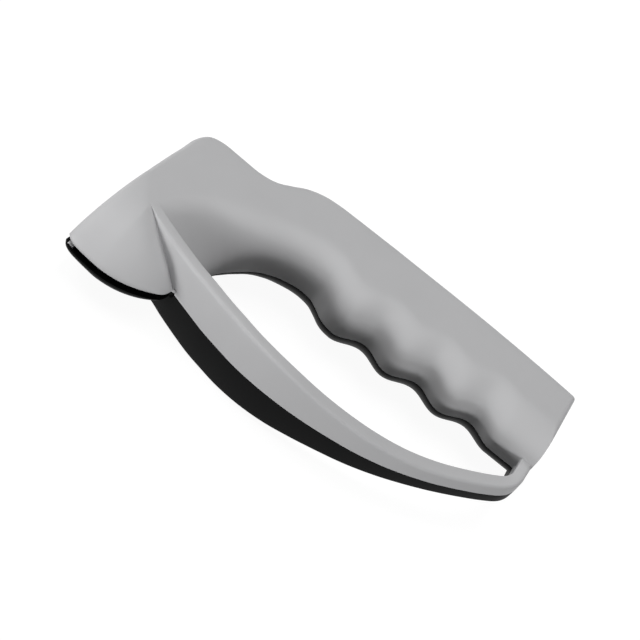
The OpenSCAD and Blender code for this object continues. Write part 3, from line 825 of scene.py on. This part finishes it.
def makeHalf(name, firm):
    half, hollow = makeCore(firm), makeHollow(firm)
    half.name = name
    cutShell(half, [hollow], "DIFFERENCE")
    cutShell(half, [guard, bosses], "UNION")
    cutShell(half, [slot, block] + rooms, "DIFFERENCE")
    bpy.data.objects.remove(hollow)
    print(name, "made", len(half.data.polygons), "faces")
    return half


# The gray shell takes the form of its rungs, the black one is soft all the way
upperShell, lowerShell = makeHalf("upperShell", 1), makeHalf("lowerShell", 0)
lowerShell.data.transform(Matrix.Diagonal((1, 1, -1, 1)))
lowerShell.data.flip_normals()
cutShell(upperShell, [pilots], "DIFFERENCE")
cutShell(lowerShell, [bores, pockets] + rooms, "DIFFERENCE")
for tool in [bosses, pilots, bores, pockets, slot, block, guard] + rooms:
    bpy.data.objects.remove(tool)
finishShell(upperShell, "upper_shell", grayPlastic)
finishShell(lowerShell, "lower_shell", blackPlastic)
print("shells made")


# Shell screws: pan head, cross recess and a thread, on the places of the CAD screws

screwSizes = {
    "headEdge": 0.45 * mm,       # rounding of the head's outer edge
    "threadDepth": 0.28 * mm,
    "threadPitch": 1.1 * mm,
    "tipLength": 1.6 * mm,
    "tipShare": 0.35,            # of the core's radius, at the very tip
    "recessWide": 0.9 * mm,
    "recessLong": 3.1 * mm,
    "recessDeep": 1.1 * mm,
}


def screwTree(stepsPerTurn=24, ridgeSides=4):
    lengths = ["Head Radius", "Head Height", "Head Edge", "Core Radius", "Length", "Tip Length",
               "Tip Share", "Thread Depth", "Turns"]
    tree, given = startTree("shell screws", [(length, "Float") for length in lengths]
                            + [("Recess", "Vector"), ("Material", "Material")])

    def moved(shape, up):
        offset = addNode(tree, "ShaderNodeCombineXYZ", {"Z": up})
        return addNode(tree, "GeometryNodeTransform", {"Geometry": shape, "Translation": offset[0]})[0]

    def cone(low, tall, radiusLow, radiusHigh, sides=48):
        shape = addNode(tree, "GeometryNodeMeshCone", {"Vertices": sides, "Radius Bottom": radiusLow,
                                                       "Radius Top": radiusHigh, "Depth": tall})
        return moved(shape[0], low)

    faceRadius = mathNode(tree, "SUBTRACT", given["Head Radius"], given["Head Edge"])
    seatTall = mathNode(tree, "SUBTRACT", given["Head Height"], given["Head Edge"])
    shankTall = mathNode(tree, "SUBTRACT", given["Length"], given["Tip Length"])
    tipRadius = mathNode(tree, "MULTIPLY", given["Core Radius"], given["Tip Share"])
    edge = cone(0.0, given["Head Edge"], faceRadius, given["Head Radius"])
    seat = cone(given["Head Edge"], seatTall, given["Head Radius"], given["Head Radius"])
    shank = cone(given["Head Edge"], mathNode(tree, "SUBTRACT", shankTall, given["Head Edge"]),
                 given["Core Radius"], given["Core Radius"])
    tip = cone(shankTall, given["Tip Length"], given["Core Radius"], tipRadius)
    threadTall = mathNode(tree, "SUBTRACT", shankTall, given["Head Height"])
    helix = addNode(tree, "GeometryNodeCurveSpiral",
                    {"Resolution": stepsPerTurn, "Rotations": given["Turns"], "Height": threadTall,
                     "Start Radius": given["Core Radius"], "End Radius": given["Core Radius"]})
    ridge = addNode(tree, "GeometryNodeCurvePrimitiveCircle",
                    {"Resolution": ridgeSides, "Radius": given["Thread Depth"]})
    thread = addNode(tree, "GeometryNodeCurveToMesh",
                     {"Curve": helix[0], "Profile Curve": ridge[0], "Fill Caps": True})
    raised = moved(thread[0], given["Head Height"])
    union = tree.nodes.new("GeometryNodeMeshBoolean")
    union.operation, union.solver = "UNION", "MANIFOLD"
    for part in (edge, seat, shank, tip, raised):
        tree.links.new(part, union.inputs["Mesh 2"])
    cross = tree.nodes.new("GeometryNodeMeshBoolean")
    cross.operation, cross.solver = "DIFFERENCE", "MANIFOLD"
    tree.links.new(union.outputs[0], cross.inputs["Mesh 1"])
    for turn in (0, pi / 2):
        bar = addNode(tree, "GeometryNodeMeshCube", {"Size": given["Recess"]})
        turned = addNode(tree, "GeometryNodeTransform", {"Geometry": bar[0], "Rotation": (0, 0, turn)})
        tree.links.new(turned[0], cross.inputs["Mesh 2"])
    placed = addNode(tree, "GeometryNodeInstanceOnPoints",
                     {"Points": given["Geometry"], "Instance": cross.outputs[0]})
    return endTree(tree, placed[0], given["Material"])


screwLong = screwHigh - screwLow
shellScrews = addMesh("shellScrews", [(p.x, p.y, screwLow) for p in screwPlaces], [])
threadLong = screwLong - screwSizes["tipLength"] - shellSizes["headHeight"]
runTree(shellScrews, screwTree(), {
    "Head Radius": screwHead / 2,
    "Head Height": shellSizes["headHeight"],
    "Head Edge": screwSizes["headEdge"],
    "Core Radius": shellSizes["screwShank"] / 2 - screwSizes["threadDepth"],
    "Length": screwLong,
    "Tip Length": screwSizes["tipLength"],
    "Tip Share": screwSizes["tipShare"],
    "Thread Depth": screwSizes["threadDepth"],
    "Turns": threadLong / screwSizes["threadPitch"],
    "Recess": (screwSizes["recessLong"], screwSizes["recessWide"], 2 * screwSizes["recessDeep"]),
    "Material": screwSteel,
})
cleanMesh(shellScrews)
shellScrews.data.shade_smooth()
shellScrews.data.set_sharp_from_angle(angle=radians(bodySizes["sharpAngle"]))
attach(shellScrews, "root")
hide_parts(*screwNodes)
print("screws made")


# Pieces of the head that keep their CAD shape

nodeFinishes = {
    "cutter_block": blockPlastic,
    "keeper_plate": plateSteel,
    "front_cutter": carbide,
    "rear_cutter": carbide,
    "keeper_screw_near": screwSteel,
    "keeper_screw_far": screwSteel,
}
for node, finish in nodeFinishes.items():
    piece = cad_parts[node]
    piece.data.materials.clear()
    piece.data.materials.append(finish)
print("head pieces finished")


# Floor, world, lamps and camera

white = (1, 1, 1, 1)
stageSizes = {
    "floorHalf": 3.0,
    "floorGlow": 0.94,           # camera sees this much white even in the shadow
    "floorShade": 0.12,          # and this much of the lit floor on top
    "floorBounce": 0.1,          # what the object sees of the floor
    "worldLight": 0.04,
}
lamps = {                        # place, power in watts, width and height
    "backLamp": {"place": (0, 0.95, 1.67), "power": 13.5, "size": (1, 1)},
    "overheadLamp": {"place": (0, 0, 1.92), "power": 11, "size": (1, 1)},
    "leftLamp": {"place": (-1.32, 0, 1.36), "power": 13, "size": (1, 1)},
    "leftStrip": {"place": (-0.66, -0.66, 0.05), "power": 6, "size": (0.6, 0.07)},
    "rightStrip": {"place": (0.66, -0.66, 0.05), "power": 3.9, "size": (0.6, 0.07)},
}


def seenShare(tree):
    rays = addNode(tree, "ShaderNodeLightPath", {})
    bright = mathNode(tree, "MAXIMUM", rays["Is Glossy Ray"], rays["Is Transmission Ray"])
    return mathNode(tree, "MAXIMUM", rays["Is Camera Ray"], bright)


def makeFloor():
    material = bpy.data.materials.new("studioFloor")
    material.use_nodes = True
    tree = material.node_tree
    tree.nodes.clear()
    glow = addNode(tree, "ShaderNodeEmission", {"Color": white, "Strength": stageSizes["floorGlow"]})
    lit = addNode(tree, "ShaderNodeBsdfDiffuse", {"Color": (stageSizes["floorShade"],) * 3 + (1,)})
    shown = addNode(tree, "ShaderNodeAddShader", {0: glow[0], 1: lit[0]})
    plain = addNode(tree, "ShaderNodeBsdfDiffuse", {"Color": (stageSizes["floorBounce"],) * 3 + (1,)})
    final = addNode(tree, "ShaderNodeMixShader", {0: seenShare(tree), 1: plain[0], 2: shown[0]})
    addNode(tree, "ShaderNodeOutputMaterial", {"Surface": final[0]})
    half = stageSizes["floorHalf"]
    corners = [(-half, -half, 0), (half, -half, 0), (half, half, 0), (-half, half, 0)]
    floor = addMesh("studioFloor", corners, [(0, 1, 2, 3)])
    floor.data.materials.append(material)


def makeWorld():
    world = bpy.data.worlds.new("studioWorld")
    world.use_nodes = True
    bpy.context.scene.world = world
    tree = world.node_tree
    tree.nodes.clear()
    soft = addNode(tree, "ShaderNodeBackground", {"Color": white, "Strength": stageSizes["worldLight"]})
    shown = addNode(tree, "ShaderNodeBackground", {"Color": white, "Strength": 1.0})
    final = addNode(tree, "ShaderNodeMixShader", {0: seenShare(tree), 1: soft[0], 2: shown[0]})
    addNode(tree, "ShaderNodeOutputWorld", {"Surface": final[0]})


def addLamp(name, place, power, size):
    lamp = bpy.data.lights.new(name, "AREA")
    lamp.energy, lamp.shape = power, "RECTANGLE"
    lamp.size, lamp.size_y = size
    obj = bpy.data.objects.new(name, lamp)
    obj.location = place
    obj.rotation_euler = (Vector((0, 0, halfT)) - obj.location).to_track_quat("-Z", "Y").to_euler()
    bpy.context.scene.collection.objects.link(obj)


cameraView = {
    "distance": 620 * mm,
    "fromUpright": 43,           # degrees between the view and the flat side's normal
    "roll": 38.9,
    "target": (-2.4 * mm, 4.05 * mm, 12.5 * mm),
    "lens": 126.95,
    "clip": 50 * mm,
}


def addCamera():
    lean, roll = radians(cameraView["fromUpright"]), radians(cameraView["roll"])
    back = Vector((0, -sin(lean), cos(lean)))
    right, up = Vector((1, 0, 0)), Vector((0, cos(lean), sin(lean)))
    turned = Matrix((cos(roll) * right + sin(roll) * up, cos(roll) * up - sin(roll) * right, back))
    camera = bpy.data.cameras.new("photoCamera")
    camera.lens = cameraView["lens"]
    camera.clip_start = cameraView["clip"]
    obj = bpy.data.objects.new("photoCamera", camera)
    place = Vector(cameraView["target"]) + cameraView["distance"] * back
    obj.matrix_world = Matrix.Translation(place) @ turned.transposed().to_4x4()
    bpy.context.scene.collection.objects.link(obj)
    bpy.context.scene.camera = obj


makeFloor()
makeWorld()
for name, lamp in lamps.items():
    addLamp(name, **lamp)
addCamera()
bpy.context.scene.view_settings.view_transform = "Standard"
print("stage made")
